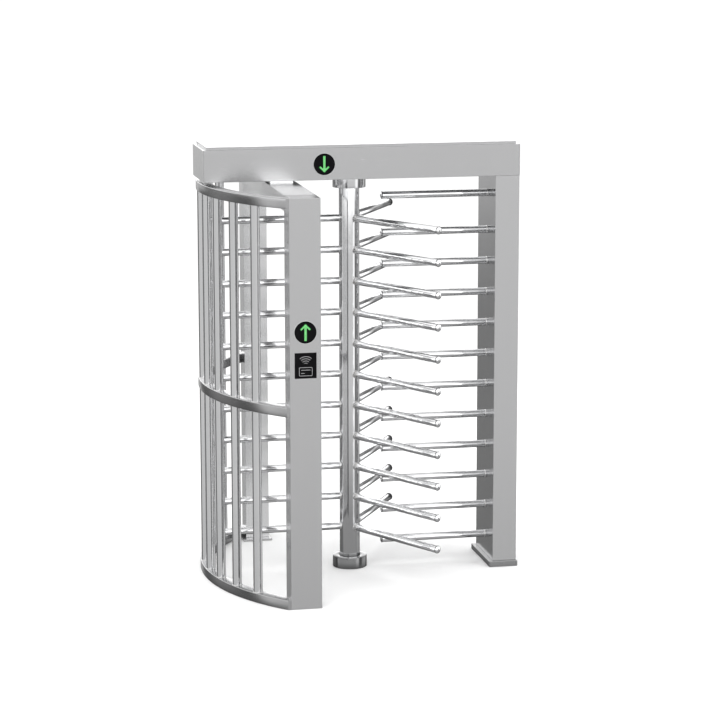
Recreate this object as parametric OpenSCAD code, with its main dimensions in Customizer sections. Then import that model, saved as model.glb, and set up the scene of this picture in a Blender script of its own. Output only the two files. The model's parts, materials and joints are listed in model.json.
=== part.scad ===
// Full-height turnstile: a three-wing rotor turning between a fixed comb and a curved cage.
// Frame: origin on the floor at the rotor axis, +X along the overhead beam towards the wall post,
// +Y away from the entrance side, +Z up. Millimetres.

/* [Overhead beam] */
// Floor to the underside of the beam
clear_h = 2120; // [2000:5:2300]
// Rotor axis to the free end of the beam
beam_left = 800; // [780:5:950]
// Rotor axis to the wall-post end of the beam
beam_right = 880; // [820:5:1000]
// Depth of the beam, front to back
beam_d = 380; // [370:5:450]
// Height of the beam housing without its lid
beam_h = 165; // [140:5:240]
// Sheet thickness of the beam housing and its end caps
beam_sheet = 3; // [2:0.5:4]
// Width of the housing's inward flange round the service opening
beam_flange = 40; // [30:1:60]
// Step from the beam's edges in to the lid
lid_inset = 18; // [16:1:25]
// Height of the lid
lid_h = 15; // [14:1:30]
// Sheet thickness of the lid
lid_sheet = 2; // [1.5:0.5:3]

/* [Wall post] */
// Width of the wall post along the beam
post_w = 130; // [110:5:160]
// Depth of the wall post
post_d = 370; // [350:5:370]
// Wall thickness of the wall post
post_wall = 4; // [3:0.5:6]
// Thickness of the wall post's base plate
base_t = 30; // [20:1:40]
// Base plate beyond the post on the passage side
base_over_in = 22; // [10:1:40]
// Base plate beyond the post at the front and the back
base_over_end = 18; // [10:1:40]
// Base plate beyond the post on the wall side
base_over_wall = 4; // [0:1:20]

/* [Rotor] */
// Outer diameter of the rotor column
column_d = 108; // [90:1:120]
// Wall thickness of the rotor column
column_wall = 4; // [3:0.5:6]
// Number of wings
wings = 3; // [3, 4]
// Arms in each wing
arms = 11; // [7:1:12]
// Height from one arm to the next
arm_pitch = 167.5; // [150:0.5:175]
// Outer diameter of the rotor arms and comb bars
arm_d = 38; // [30:1:45]
// Wall thickness of the rotor arms and comb bars
arm_wall = 2; // [1.5:0.5:3]
// Rotor axis to the tip of an arm
arm_reach = 700; // [600:5:710]
// Height of the lowest rotor arm
arm_z0 = 221.75; // [200:0.25:240]

/* [Fixed comb] */
// Rotor axis to the tips of the comb bars
comb_tip_x = 168; // [120:1:250]
// Height from the second highest comb bar to the highest
comb_top_gap = 197; // [170:1:200]

/* [Side posts and cross arm] */
// Distance of the side posts' centre line from the rotor axis
side_x = 382; // [370:1:420]
// Width of the front side post and the cross arm
side_w = 160; // [140:5:180]
// Width of the rear side post
rear_w = 130; // [110:5:160]
// Depth of the side posts
side_d = 140; // [120:5:160]
// Rotor axis to the outer faces of the side posts
side_y = 797; // [790:1:850]
// Sheet thickness of the side posts and cross arm
side_wall = 3; // [2:0.5:5]
// Gap between the cross arm and the beam, filled by the mounting blocks
arm_gap = 15.5; // [8:0.5:30]
// Height of the cross arm
cross_h = 80; // [60:5:120]
// Thickness of the foot plates of the side posts
foot_t = 10; // [6:1:20]
// Rear foot plate beyond its post on the passage side
foot_over_front = 45; // [20:1:60]
// Rear foot plate beyond its post on the cage side
foot_over_left = 22; // [10:1:40]
// Rear foot plate beyond its post at the other two sides
foot_over = 10; // [5:1:30]

/* [Cage] */
// Gap between the tip of an arm and the cage bands, at the middle of the cage
cage_clear = 46; // [35:1:120]
// Where the bands' centre line meets the side posts, in from their outer faces
cage_end = 23.4; // [15:0.1:40]
// Height of a cage band
band_h = 50; // [40:1:80]
// Radial depth of a cage band
band_t = 56; // [52:1:70]
// Wall thickness of the cage bands and bars
band_wall = 2.5; // [2:0.5:4]
// Underside of the middle band
band_mid_z = 1000; // [800:5:1200]
// Gap between the top band and the top of the side posts
band_drop = 1; // [0:1:20]
// Number of bars in each storey of the cage
cage_bars = 8; // [6:1:10]
// Outer diameter of the cage bars
cage_bar_d = 48; // [38:1:50]

/* [Bearings] */
// Outer diameter of the floor bearing housing
pedestal_d = 184; // [160:2:220]
// Height of the floor bearing housing
pedestal_h = 60; // [50:1:90]
// Outer diameter of the collar under the beam
collar_d = 175; // [150:1:200]
// Height of the collar under the beam
collar_h = 60; // [40:1:90]
// Diameter of the rotor shaft in the drive head
shaft_d = 40; // [30:1:44]
// Diameter of the floor pivot
pivot_d = 30; // [20:1:40]

/* [Drive head] */
// Teeth on the rotor gear
gear_teeth = 48; // [48]
// Teeth on the damper pinion
pinion_teeth = 16; // [16]
// Gear module
gear_module = 3.75; // [3.75]
// Radius of the lock wheel
lock_r = 85; // [80:1:86]
// Slots in the lock wheel
lock_slots = 12; // [12]
// Swing of a lock pawl from released to engaged, in degrees
pawl_swing = 9.5; // [8:0.5:10]
// Distance from a pawl's pivot to its solenoid pin
pawl_tail = 40; // [35:1:45]

/* [Indicators and reader] */
// Outer diameter of a direction light
light_d = 116; // [90:1:120]
// Distance of the beam's light from the rotor axis, towards the free end
light_x = 168; // [150:1:250]
// Height of the front post's light
post_light_z = 1431; // [1400:1:1600]
// Width of the card reader window
reader_w = 111; // [90:1:120]
// Height of the card reader window
reader_h = 130; // [100:1:150]
// Height of the card reader's centre
reader_z = 1262; // [1100:1:1300]

/* [Hidden] */
$fn = 96;

// Running clearance between a shaft and its bearing, on the radius
run_gap = 0.05;
// Clearance between moving curved faces, on the radius
move_gap = 0.3;
// Easy clearance for a piece set in a cut-out, per side
set_gap = 0.5;

beam_top = clear_h + beam_h;
beam_floor = clear_h + beam_sheet;
comb_n = arms + 1;
comb_z0 = arm_z0 - arm_pitch / 2;
post_x0 = beam_right - post_w;
post_cx = beam_right - post_w / 2;
side_h = clear_h - arm_gap;
side_x0 = -side_x - side_w / 2;
rear_cx = side_x0 + rear_w / 2;
cross_len = 2 * (side_y - side_d);
band_top_z = side_h - band_drop - band_h;

// The cage's arc: its chord runs between the side posts, and its rise clears the rotor's arms
cage_half_chord = side_y - cage_end;
cage_rise = arm_reach + cage_clear + band_t / 2 + side_x0;
bar_ring_r = (pow(cage_half_chord, 2) + pow(cage_rise, 2)) / (2 * cage_rise);
cage_r = bar_ring_r + band_t / 2;
cage_cx = side_x0 - cage_rise + bar_ring_r;

// Caps that close the tube ends
cap_h = 8;
cap_rim = 2;
cap_plug = 14;

// Bolts that hold the beam on the wall post and on the cross arm
beam_bolt_r = 6;
beam_bolt_len = beam_sheet + arm_gap + side_wall + 3;

// Bearings and rotor ends
floor_t = 12;
thrust_t = 12;
thrust_r = 35;
column_z0 = floor_t + thrust_t;
column_top = clear_h - 20;
end_plug_h = 28;
collar_wall = 3;
anchor_r = 6;
pedestal_pcd = 92;

// Drive head stack, from the beam's floor upwards
mech_t = 10;
mech_x = 250;
mech_y0 = -150;
mech_y1 = 165;
mech_top = beam_floor + mech_t;
shaft_hole_r = shaft_d / 2 + 10;
housing_h = 22;
bearing_h = 15;
bearing_r = 34;
bearing_z = mech_top + 5;
lock_z = mech_top + 29;
lock_t = 12;
slot_depth = 10;
slot_w = 12;
gear_z = mech_top + 57;
gear_t = 12;
vane_z = mech_top + 79;
vane_t = 2;
vane_r = 60;
nut_h = 14;
spacer_r = 28;
shaft_top = vane_z + vane_t + nut_h + 6;

pawl_x = 100;
pawl_y = -60;
pawl_pin_r = 6;
pawl_boss_r = 12;
link_pin_r = 3;
tooth_depth = 7;
// The tooth is narrower than the slot on the side that swings past the slot's edge
tooth_y0 = 1 - slot_w / 2;
tooth_y1 = slot_w / 2 - 2.5;
plunger_r = 6;
plunger_z = lock_z + lock_t + 4;
coil_x = pawl_x + 70;
coil_len = 60;
coil_w = 46;

gear_pitch_r = gear_module * gear_teeth / 2;
pinion_pitch_r = gear_module * pinion_teeth / 2;
damper_y = gear_pitch_r + pinion_pitch_r;
damper_r = 28;
damper_h = 49;
damper_shaft_r = 5;

// Lid hinges
knuckle_r = 5;
hinge_len = 60;
hinge_pin_r = 2;
hinge_y = beam_d / 2 - lid_inset + knuckle_r + 1;
hinge_z = beam_top + knuckle_r + 1;
hinge_xs = [-0.6 * beam_left, 0.65 * beam_right];

// Light and reader details
light_hole_r = light_d / 2 - 8;
bezel_w = 3;
bezel_t = 3;
lens_t = 4;
reader_t = 4;
reader_lip = 6;
cover_w = 90;
cover_h = 160;
cover_t = 2;
cover_z = 130;

// ---------------------------------------------------------------- helpers

// Upright box centred on x and y, standing on z
module block(w, d, h) {
    translate([-w / 2, -d / 2, 0]) cube([w, d, h]);
}

// Open-ended upright box tube standing on z
module box_tube(w, d, h, wall) {
    difference() {
        block(w, d, h);
        translate([0, 0, -1]) block(w - 2 * wall, d - 2 * wall, h + 2);
    }
}

module ring(outer_r, inner_r, h) {
    difference() {
        cylinder(r = outer_r, h = h);
        translate([0, 0, -1]) cylinder(r = inner_r, h = h + 2);
    }
}

// Tube along +X from the origin
module tube_x(d, wall, len) {
    rotate([0, 90, 0]) ring(d / 2, d / 2 - wall, len);
}

// Domed plug along +X: its rim starts at the origin, its spigot reaches back into the tube
module tube_cap(d, wall) {
    dome = cap_h - cap_rim;
    dome_r = (pow(d / 2, 2) + pow(dome, 2)) / (2 * dome);
    rotate([0, 90, 0]) {
        translate([0, 0, -cap_plug]) cylinder(r = d / 2 - wall, h = cap_plug);
        cylinder(r = d / 2, h = cap_rim);
        intersection() {
            translate([0, 0, cap_rim]) cylinder(r = d / 2, h = dome);
            translate([0, 0, cap_h - dome_r]) sphere(r = dome_r);
        }
    }
}

// Children at the four corners of a rectangle
module at_corners(dx, dy) {
    for (sx = [-1, 1], sy = [-1, 1])
        translate([sx * dx / 2, sy * dy / 2, 0]) children();
}

// Hexagon-head screw pointing down, its head standing on z = 0
module hex_bolt(r, len) {
    translate([0, 0, -len]) cylinder(r = r, h = len);
    cylinder(r = 1.8 * r, h = 1.3 * r, $fn = 6);
}

function polar(r, a) = [r * cos(a), r * sin(a)];

// ---------------------------------------------------------------- overhead beam

module beam_inside() {
    translate([-beam_left - 1, -beam_d / 2 + beam_sheet, beam_floor])
        cube([beam_left + beam_right + 2, beam_d - 2 * beam_sheet, beam_h - 2 * beam_sheet]);
}

module beam_housing() color("silver") difference() {
    translate([-beam_left + beam_sheet, -beam_d / 2, clear_h])
        cube([beam_left + beam_right - 2 * beam_sheet, beam_d, beam_h]);
    beam_inside();
    translate([-beam_left + beam_flange, -beam_d / 2 + beam_flange, beam_top - beam_sheet - 1])
        cube([beam_left + beam_right - 2 * beam_flange, beam_d - 2 * beam_flange, beam_sheet + 2]);
    translate([0, 0, clear_h - 1]) cylinder(r = shaft_hole_r, h = beam_sheet + 2);
    translate([-light_x, -beam_d / 2 - 1, clear_h + beam_h / 2])
        rotate([-90, 0, 0]) cylinder(r = light_hole_r, h = beam_sheet + 2);
    translate([post_cx, 0, clear_h - 1]) post_bolt_holes(beam_sheet + 2);
    translate([-side_x, 0, clear_h - 1]) block_bolt_holes(beam_sheet + 2);
    translate([0, 0, clear_h - 1]) mech_bolt_holes(beam_sheet + 2);
}

module beam_end_caps() color("gainsboro")
    for (x = [-beam_left, beam_right - beam_sheet])
        translate([x, -beam_d / 2, clear_h]) cube([beam_sheet, beam_d, beam_h]);

module beam_lid() color("whitesmoke") {
    w = beam_left + beam_right - 2 * lid_inset;
    d = beam_d - 2 * lid_inset;
    translate([(beam_right - beam_left) / 2, 0, beam_top]) difference() {
        block(w, d, lid_h);
        translate([0, 0, -1]) block(w - 2 * lid_sheet, d - 2 * lid_sheet, lid_h + 1 - lid_sheet);
    }
}

// One hinge knuckle along X from a to b, with a web that reaches `reach` in the y direction
module knuckle(a, b, bore_r, reach) {
    difference() {
        union() {
            translate([a, hinge_y, hinge_z]) rotate([0, 90, 0]) cylinder(r = knuckle_r, h = b - a);
            translate([a, min(hinge_y, hinge_y + reach), hinge_z - knuckle_r])
                cube([b - a, abs(reach), 2]);
        }
        translate([a - 1, hinge_y, hinge_z]) rotate([0, 90, 0]) cylinder(r = bore_r, h = b - a + 2);
    }
}

module lid_hinge_leaves() color("gray")
    for (x = hinge_xs)
        translate([x, 0, 0])
            knuckle(-hinge_len / 6 + set_gap, hinge_len / 6 - set_gap, hinge_pin_r + run_gap,
                -(hinge_y - beam_d / 2 + lid_inset));

module beam_hinge_leaves() color("gray")
    for (x = hinge_xs, side = [-1, 1])
        translate([x, 0, 0]) {
            a = side < 0 ? -hinge_len / 2 : hinge_len / 6;
            knuckle(a, a + hinge_len / 3, hinge_pin_r, knuckle_r + 4);
            translate([a, hinge_y + 1, beam_top]) cube([hinge_len / 3, knuckle_r + 3, 1]);
        }

module hinge_pins() color("dimgray")
    for (x = hinge_xs)
        translate([x - hinge_len / 2, hinge_y, hinge_z]) rotate([0, 90, 0])
            cylinder(r = hinge_pin_r, h = hinge_len);

// ---------------------------------------------------------------- wall post

module post_bolt_holes(h)
    at_corners(post_w - 60, post_d - 120) cylinder(r = beam_bolt_r + set_gap, h = h);

module wall_post() color("silver") difference() {
    translate([post_cx, 0, base_t]) box_tube(post_w, post_d, clear_h - base_t, post_wall);
    translate([post_cx, post_d / 2 - post_wall - 1, base_t + cover_z - 20])
        translate([-cover_w / 2 + 10, 0, -cover_h / 2 + 10])
            cube([cover_w - 20, post_wall + 2, cover_h - 20]);
}

module wall_post_head_plate() color("silver") difference() {
    translate([post_cx, 0, clear_h - 10])
        block(post_w - 2 * post_wall, post_d - 2 * post_wall, 10);
    translate([post_cx, 0, clear_h - 11]) post_bolt_holes(12);
}

module wall_post_base_plate() color("gainsboro") difference() {
    translate([post_x0 - base_over_in, -post_d / 2 - base_over_end, 0])
        cube([post_w + base_over_in + base_over_wall, post_d + 2 * base_over_end, base_t]);
    translate([post_cx, 0, -1])
        at_corners(post_w - 70, post_d - 90) cylinder(r = anchor_r + 1, h = base_t + 2);
}

// ---------------------------------------------------------------- side posts and cross arm

module front_post() color("silver") difference() {
    translate([-side_x, -side_y + side_d / 2, 0]) box_tube(side_w, side_d, side_h, side_wall);
    translate([-side_x, -side_y - 1, post_light_z]) rotate([-90, 0, 0])
        cylinder(r = light_hole_r, h = side_wall + 2);
    translate([-side_x - reader_w / 2 + reader_lip, -side_y - 1, reader_z - reader_h / 2 + reader_lip])
        cube([reader_w - 2 * reader_lip, side_wall + 2, reader_h - 2 * reader_lip]);
    translate([-side_x - cover_w / 2 + 10, -side_y + side_d - side_wall - 1, cover_z - cover_h / 2 + 10])
        cube([cover_w - 20, side_wall + 2, cover_h - 20]);
}

module rear_post() color("silver") difference() {
    translate([rear_cx, side_y - side_d / 2, foot_t])
        box_tube(rear_w, side_d, side_h - foot_t, side_wall);
    translate([rear_cx - cover_w / 2 + 10, side_y - side_wall - 1, cover_z - cover_h / 2 + 10])
        cube([cover_w - 20, side_wall + 2, cover_h - 20]);
}

module side_post_caps() color("whitesmoke") {
    translate([-side_x, -side_y + side_d / 2, side_h - side_wall])
        block(side_w - 2 * side_wall, side_d - 2 * side_wall, side_wall);
    translate([rear_cx, side_y - side_d / 2, side_h - side_wall])
        block(rear_w - 2 * side_wall, side_d - 2 * side_wall, side_wall);
}

module front_foot_plate() color("gray") difference() {
    translate([-side_x, -side_y + side_d / 2, 0])
        block(side_w - 2 * side_wall, side_d - 2 * side_wall, foot_t);
    translate([-side_x, -side_y + side_d / 2, -1])
        at_corners(side_w - 70, side_d - 70) cylinder(r = anchor_r, h = foot_t + 2);
}

// The rear foot plate's block from height z up to its top
module rear_foot_block(z)
    translate([side_x0 - foot_over_left, side_y - side_d - foot_over_front, z])
        cube([rear_w + foot_over_left + foot_over, side_d + foot_over_front + foot_over, foot_t - z]);

module rear_foot_plate() color("gainsboro") difference() {
    rear_foot_block(0);
    translate([rear_cx, side_y - side_d / 2, -1])
        at_corners(rear_w - 60, side_d - 70) cylinder(r = anchor_r, h = foot_t + 2);
}

module cross_arm() color("whitesmoke") difference() {
    translate([-side_x, -cross_len / 2, side_h - cross_h / 2]) rotate([-90, 0, 0])
        box_tube(side_w, cross_h, cross_len, side_wall);
    translate([-side_x, 0, side_h - side_wall - 1]) block_bolt_holes(side_wall + 2);
}

module block_bolt_holes(h)
    at_corners(80, 200) cylinder(r = beam_bolt_r + set_gap, h = h);

module beam_mount_blocks() color("dimgray") difference() {
    for (y = [-100, 100])
        translate([-side_x, y, side_h]) block(side_w - 40, 60, arm_gap);
    translate([-side_x, 0, side_h - 1]) block_bolt_holes(arm_gap + 2);
}

// The beam's bolts, standing on its floor: four into the wall post, four into the cross arm
module beam_bolts() color("gray") {
    translate([post_cx, 0, beam_floor])
        at_corners(post_w - 60, post_d - 120) hex_bolt(beam_bolt_r, beam_bolt_len);
    translate([-side_x, 0, beam_floor]) at_corners(80, 200) hex_bolt(beam_bolt_r, beam_bolt_len);
}

// ---------------------------------------------------------------- cage

// A curved box-section band from the front post round to the rear post
module band(z) {
    sweep = 2 * asin(min(1, side_y / (cage_r - band_t)));
    color("silver") intersection() {
        translate([cage_cx, 0, z]) rotate([0, 0, 180 - sweep / 2])
            rotate_extrude(angle = sweep, $fn = 180) difference() {
                translate([cage_r - band_t, 0]) square([band_t, band_h]);
                translate([cage_r - band_t + band_wall, band_wall])
                    square([band_t - 2 * band_wall, band_h - 2 * band_wall]);
            }
        translate([-2 * cage_r, -side_y, z - 1]) cube([2 * cage_r + side_x0, 2 * side_y, band_h + 2]);
    }
}

module cage_top_band() band(band_top_z);
module cage_middle_band() band(band_mid_z);

// The bottom band stands on the floor, notched over the rear foot plate
module cage_bottom_band() difference() {
    band(0);
    rear_foot_block(-1);
}

// Angle between neighbouring bars: the posts' faces stand where the end bars would be
bar_step = 2 * asin((side_y - band_t) / bar_ring_r) / (cage_bars + 1);

module cage_bar_row(z, h) color("gainsboro")
    for (i = [0:cage_bars - 1])
        translate([cage_cx, 0, z]) rotate([0, 0, 180 + (i - (cage_bars - 1) / 2) * bar_step])
            translate([bar_ring_r, 0, 0]) ring(cage_bar_d / 2, cage_bar_d / 2 - band_wall, h);

module cage_bars() {
    cage_bar_row(band_h, band_mid_z - band_h);
    cage_bar_row(band_mid_z + band_h, band_top_z - band_mid_z - band_h);
}

// ---------------------------------------------------------------- fixed comb

function comb_z(i) = i < comb_n - 1
    ? comb_z0 + i * arm_pitch
    : comb_z0 + (comb_n - 2) * arm_pitch + comb_top_gap;

module comb_bars() color("gainsboro")
    for (i = [0:comb_n - 1])
        translate([comb_tip_x + cap_h, 0, comb_z(i)])
            tube_x(arm_d, arm_wall, post_x0 - comb_tip_x - cap_h);

module comb_caps() color("whitesmoke")
    for (i = [0:comb_n - 1])
        translate([comb_tip_x + cap_h, 0, comb_z(i)]) mirror([1, 0, 0]) tube_cap(arm_d, arm_wall);

// ---------------------------------------------------------------- access covers

// Children at each cover: the wall post's back, the front post's inner face, the rear post's back
module at_covers() {
    translate([post_cx, post_d / 2, base_t + cover_z - 20]) children();
    translate([-side_x, -side_y + side_d, cover_z]) children();
    translate([rear_cx, side_y, cover_z]) children();
}

module access_covers() color("silver") at_covers() difference() {
    translate([-cover_w / 2, 0, -cover_h / 2]) cube([cover_w, cover_t, cover_h]);
    translate([0, -1, 0]) rotate([-90, 0, 0])
        at_corners(cover_w - 10, cover_h - 10) cylinder(r = 1.6, h = cover_t + 2);
}

module cover_screws() color("gray") at_covers() translate([0, cover_t, 0]) rotate([-90, 0, 0])
    at_corners(cover_w - 10, cover_h - 10) {
        translate([0, 0, -cover_t]) cylinder(r = 1.6, h = cover_t);
        cylinder(r = 3, h = 1.6);
    }

// ---------------------------------------------------------------- bearings and rotor

module floor_bearing_housing() color("silver") difference() {
    cylinder(r = pedestal_d / 2, h = pedestal_h);
    translate([0, 0, floor_t]) difference() {
        cylinder(r = column_d / 2 + 3, h = pedestal_h);
        translate([0, 0, -1]) cylinder(r = pivot_d / 2, h = 40);
    }
    for (a = [45:90:315])
        translate([polar(pedestal_pcd / 2, a)[0], polar(pedestal_pcd / 2, a)[1], -1])
            cylinder(r = anchor_r, h = floor_t + 2);
}

module thrust_bearing() color("dimgray")
    translate([0, 0, floor_t]) ring(thrust_r, pivot_d / 2 + run_gap, thrust_t);

module top_collar() color("silver") translate([0, 0, clear_h - collar_h]) {
    ring(collar_d / 2, collar_d / 2 - collar_wall, collar_h);
    ring(collar_d / 2 - collar_wall, column_d / 2 + 2, collar_wall);
}

module rotor_column() color("whitesmoke")
    translate([0, 0, column_z0]) ring(column_d / 2, column_d / 2 - column_wall, column_top - column_z0);

module column_end_plugs() color("gray") {
    translate([0, 0, column_z0]) ring(column_d / 2 - column_wall, pivot_d / 2 + run_gap, end_plug_h);
    translate([0, 0, column_top - end_plug_h])
        ring(column_d / 2 - column_wall, shaft_d / 2, end_plug_h);
}

module wing_arms(angle) color("whitesmoke")
    rotate([0, 0, angle]) difference() {
        for (i = [0:arms - 1])
            translate([0, 0, arm_z0 + i * arm_pitch]) tube_x(arm_d, arm_wall, arm_reach - cap_h);
        translate([0, 0, column_z0 + 1]) cylinder(r = column_d / 2, h = column_top - column_z0);
    }

function wing_angle(k) = 180 + k * 360 / wings;

module wing_a_arms() wing_arms(wing_angle(0));
module wing_b_arms() wing_arms(wing_angle(1));
module wing_c_arms() for (k = [2:wings - 1]) wing_arms(wing_angle(k));

module arm_caps() color("whitesmoke")
    for (k = [0:wings - 1], i = [0:arms - 1])
        rotate([0, 0, wing_angle(k)])
            translate([arm_reach - cap_h, 0, arm_z0 + i * arm_pitch]) tube_cap(arm_d, arm_wall);

module rotor_shaft() color("gray")
    translate([0, 0, column_top - end_plug_h])
        cylinder(r = shaft_d / 2, h = shaft_top - column_top + end_plug_h);

// ---------------------------------------------------------------- drive head

module mech_bolt_holes(h) translate([0, (mech_y0 + mech_y1) / 2, 0])
    at_corners(2 * mech_x - 30, mech_y1 - mech_y0 - 30) cylinder(r = 5.5, h = h);

module mechanism_plate() color("lightslategray") difference() {
    translate([-mech_x, mech_y0, beam_floor]) cube([2 * mech_x, mech_y1 - mech_y0, mech_t]);
    translate([0, 0, beam_floor - 1]) cylinder(r = shaft_hole_r, h = mech_t + 2);
    translate([0, 0, beam_floor - 1]) mech_bolt_holes(mech_t + 2);
}

module mechanism_bolts() color("gray") translate([0, (mech_y0 + mech_y1) / 2, mech_top])
    at_corners(2 * mech_x - 30, mech_y1 - mech_y0 - 30) hex_bolt(5, mech_t + beam_sheet);

module bearing_housing() color("slategray") translate([0, 0, mech_top]) difference() {
    union() {
        cylinder(r = bearing_r + 31, h = 8);
        cylinder(r = bearing_r + 12, h = housing_h);
    }
    translate([0, 0, -1]) cylinder(r = shaft_d / 2 + 4, h = housing_h + 2);
    translate([0, 0, bearing_z - mech_top]) cylinder(r = bearing_r, h = housing_h);
}

module top_bearing() color("lightgray")
    translate([0, 0, bearing_z]) ring(bearing_r, shaft_d / 2 + run_gap, bearing_h);

module lock_wheel() color("darkgray") translate([0, 0, lock_z]) difference() {
    ring(lock_r, shaft_d / 2, lock_t);
    for (i = [0:lock_slots - 1])
        rotate([0, 0, i * 360 / lock_slots]) translate([lock_r - slot_depth, -slot_w / 2, -1])
            cube([2 * slot_depth, slot_w, lock_t + 2]);
}

// Involute tooth outline, standing on the x axis
function involute(base_r, a) = [
    base_r * (cos(a) + a * PI / 180 * sin(a)), base_r * (sin(a) - a * PI / 180 * cos(a))];
function turned(p, a) = [p[0] * cos(a) - p[1] * sin(a), p[0] * sin(a) + p[1] * cos(a)];

module gear_outline(teeth, thin) {
    pitch_r = gear_module * teeth / 2;
    base_r = pitch_r * cos(20);
    tip_r = pitch_r + 0.8 * gear_module;
    root_r = pitch_r - 1.1 * gear_module;
    low_r = max(base_r, root_r + 0.3);
    a0 = sqrt(pow(low_r / base_r, 2) - 1) * 180 / PI;
    a1 = sqrt(pow(tip_r / base_r, 2) - 1) * 180 / PI;
    // half the tooth's angle at the base circle, less the backlash
    half = 90 / teeth + (tan(20) * 180 / PI - 20) - thin / pitch_r * 90 / PI;
    steps = 4;
    flank = [for (i = [0:steps]) turned(involute(base_r, a0 + (a1 - a0) * i / steps), -half)];
    mirrored = [for (i = [steps:-1:0]) [flank[i][0], -flank[i][1]]];
    polygon([for (t = [0:teeth - 1]) let (a = t * 360 / teeth) each concat(
        [turned(polar(root_r, -half), a)],
        [for (p = flank) turned(p, a)],
        [for (p = mirrored) turned(p, a)],
        [turned(polar(root_r, half), a)])]);
}

backlash = 0.3;

module rotor_gear() color("darkgoldenrod") translate([0, 0, gear_z]) difference() {
    linear_extrude(gear_t) gear_outline(gear_teeth, backlash);
    translate([0, 0, -1]) cylinder(r = shaft_d / 2, h = gear_t + 2);
}

module sensor_vane() color("black") translate([0, 0, vane_z]) difference() {
    ring(vane_r, shaft_d / 2, vane_t);
    for (k = [0:wings - 1])
        rotate([0, 0, k * 360 / wings + 60]) translate([vane_r - 14, -5, -1])
            cube([20, 10, vane_t + 2]);
}

module shaft_collars() color("lightgray") {
    for (z = [[bearing_z + bearing_h, lock_z], [lock_z + lock_t, gear_z], [gear_z + gear_t, vane_z],
            [vane_z + vane_t, vane_z + vane_t + nut_h]])
        translate([0, 0, z[0]]) ring(spacer_r, shaft_d / 2, z[1] - z[0]);
}

// Two fork sensors, each on a foot beside the gear, with the vane running in their slots
module position_sensors() color("darkslategray")
    for (a = [20, 160])
        rotate([0, 0, a]) translate([0, 0, mech_top]) difference() {
            translate([50, -10, 0]) cube([68, 20, vane_z - mech_top + 12]);
            translate([40, -11, -1]) cube([60, 22, gear_z + gear_t - mech_top + 5]);
            translate([40, -11, vane_z - mech_top - 3])
                cube([vane_r - 40 + 4, 22, vane_t + 6]);
        }

module damper_body() color("dimgray") translate([0, damper_y, mech_top]) difference() {
    union() {
        cylinder(r = damper_r, h = damper_h);
        cylinder(r = damper_r + 5, h = 6);
    }
    translate([0, 0, damper_h - 30]) cylinder(r = damper_shaft_r + run_gap, h = 31);
}

// The pinion and its spindle, timed so that a tooth gap faces the gear's tooth
module damper_pinion() color("goldenrod") translate([0, damper_y, 0]) {
    translate([0, 0, gear_z]) rotate([0, 0, pinion_phase])
        linear_extrude(gear_t) gear_outline(pinion_teeth, backlash);
    translate([0, 0, mech_top + damper_h - 28]) cylinder(r = damper_shaft_r, h = gear_z - mech_top
        - damper_h + 28);
}

// The gear has a tooth at 90 degrees; the pinion then needs a gap at 270 degrees
pinion_phase = 270 + 180 / pinion_teeth;

module pawl_pins() color("lightgray")
    for (s = [-1, 1]) translate([s * pawl_x, pawl_y, mech_top]) {
        cylinder(r = pawl_boss_r, h = lock_z - mech_top);
        cylinder(r = pawl_pin_r, h = lock_z - mech_top + lock_t + 8);
    }

// A pawl in its engaged place on the -X side: boss, arm, tooth and tail, with the solenoid pin
module pawl_engaged() {
    translate([0, 0, lock_z]) difference() {
        union() {
            translate([-pawl_x, pawl_y, 0]) cylinder(r = pawl_boss_r, h = lock_t);
            translate([-pawl_x - 6, pawl_y, 0]) cube([14, tooth_y1 - pawl_y, lock_t]);
            translate([-pawl_x - 6, tooth_y0, 0])
                cube([pawl_x + 6 - lock_r + tooth_depth, tooth_y1 - tooth_y0, lock_t]);
            translate([-pawl_x - 5, pawl_y - pawl_tail - 6, 0]) cube([10, pawl_tail + 6, lock_t]);
        }
        translate([-pawl_x, pawl_y, -1])
            cylinder(r = pawl_pin_r + run_gap, h = lock_t + 2);
    }
    translate([-pawl_x, pawl_y - pawl_tail, lock_z + lock_t]) cylinder(r = link_pin_r, h = 9);
}

// The released place: swung back about the pawl's pivot
module pawl_released()
    translate([-pawl_x, pawl_y, 0]) rotate([0, 0, pawl_swing]) translate([pawl_x, -pawl_y, 0])
        pawl_engaged();

module entry_pawl() color("steelblue") pawl_released();
module exit_pawl() color("steelblue") mirror([1, 0, 0]) pawl_released();

// Where the released pawl holds its solenoid pin
pin_x = pawl_x - pawl_tail * sin(pawl_swing);
pin_y = pawl_y - pawl_tail * cos(pawl_swing);

module plunger() difference() {
    union() {
        translate([-coil_x - 30, pawl_y - pawl_tail, plunger_z]) rotate([0, 90, 0])
            cylinder(r = plunger_r, h = coil_x - pawl_x + 14);
        translate([-pawl_x - 16, pawl_y - pawl_tail - plunger_r, plunger_z - 3])
            cube([pawl_x + 16 - pin_x + 8, 2 * plunger_r, 6]);
    }
    // slot for the pawl's pin, open at the back so that the pin can follow its arc
    translate([-pin_x, pawl_y - pawl_tail - 1, plunger_z - 4]) {
        cylinder(r = link_pin_r + move_gap, h = 8);
        translate([-link_pin_r - move_gap, 0, 0]) cube([2 * (link_pin_r + move_gap), 10, 8]);
    }
}

module entry_plunger() color("lightgray") plunger();
module exit_plunger() color("lightgray") mirror([1, 0, 0]) plunger();

module solenoids() color("firebrick")
    for (s = [0, 1]) mirror([s, 0, 0]) difference() {
        union() {
            translate([-coil_x - coil_len, pawl_y - pawl_tail - coil_w / 2, plunger_z - coil_w / 2])
                cube([coil_len, coil_w, coil_w]);
            translate([-coil_x - coil_len, pawl_y - pawl_tail - coil_w / 2, mech_top])
                cube([coil_len, coil_w, plunger_z - coil_w / 2 - mech_top]);
        }
        translate([-coil_x - coil_len + 10, pawl_y - pawl_tail, plunger_z]) rotate([0, 90, 0])
            cylinder(r = plunger_r + run_gap, h = coil_len);
    }

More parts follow.
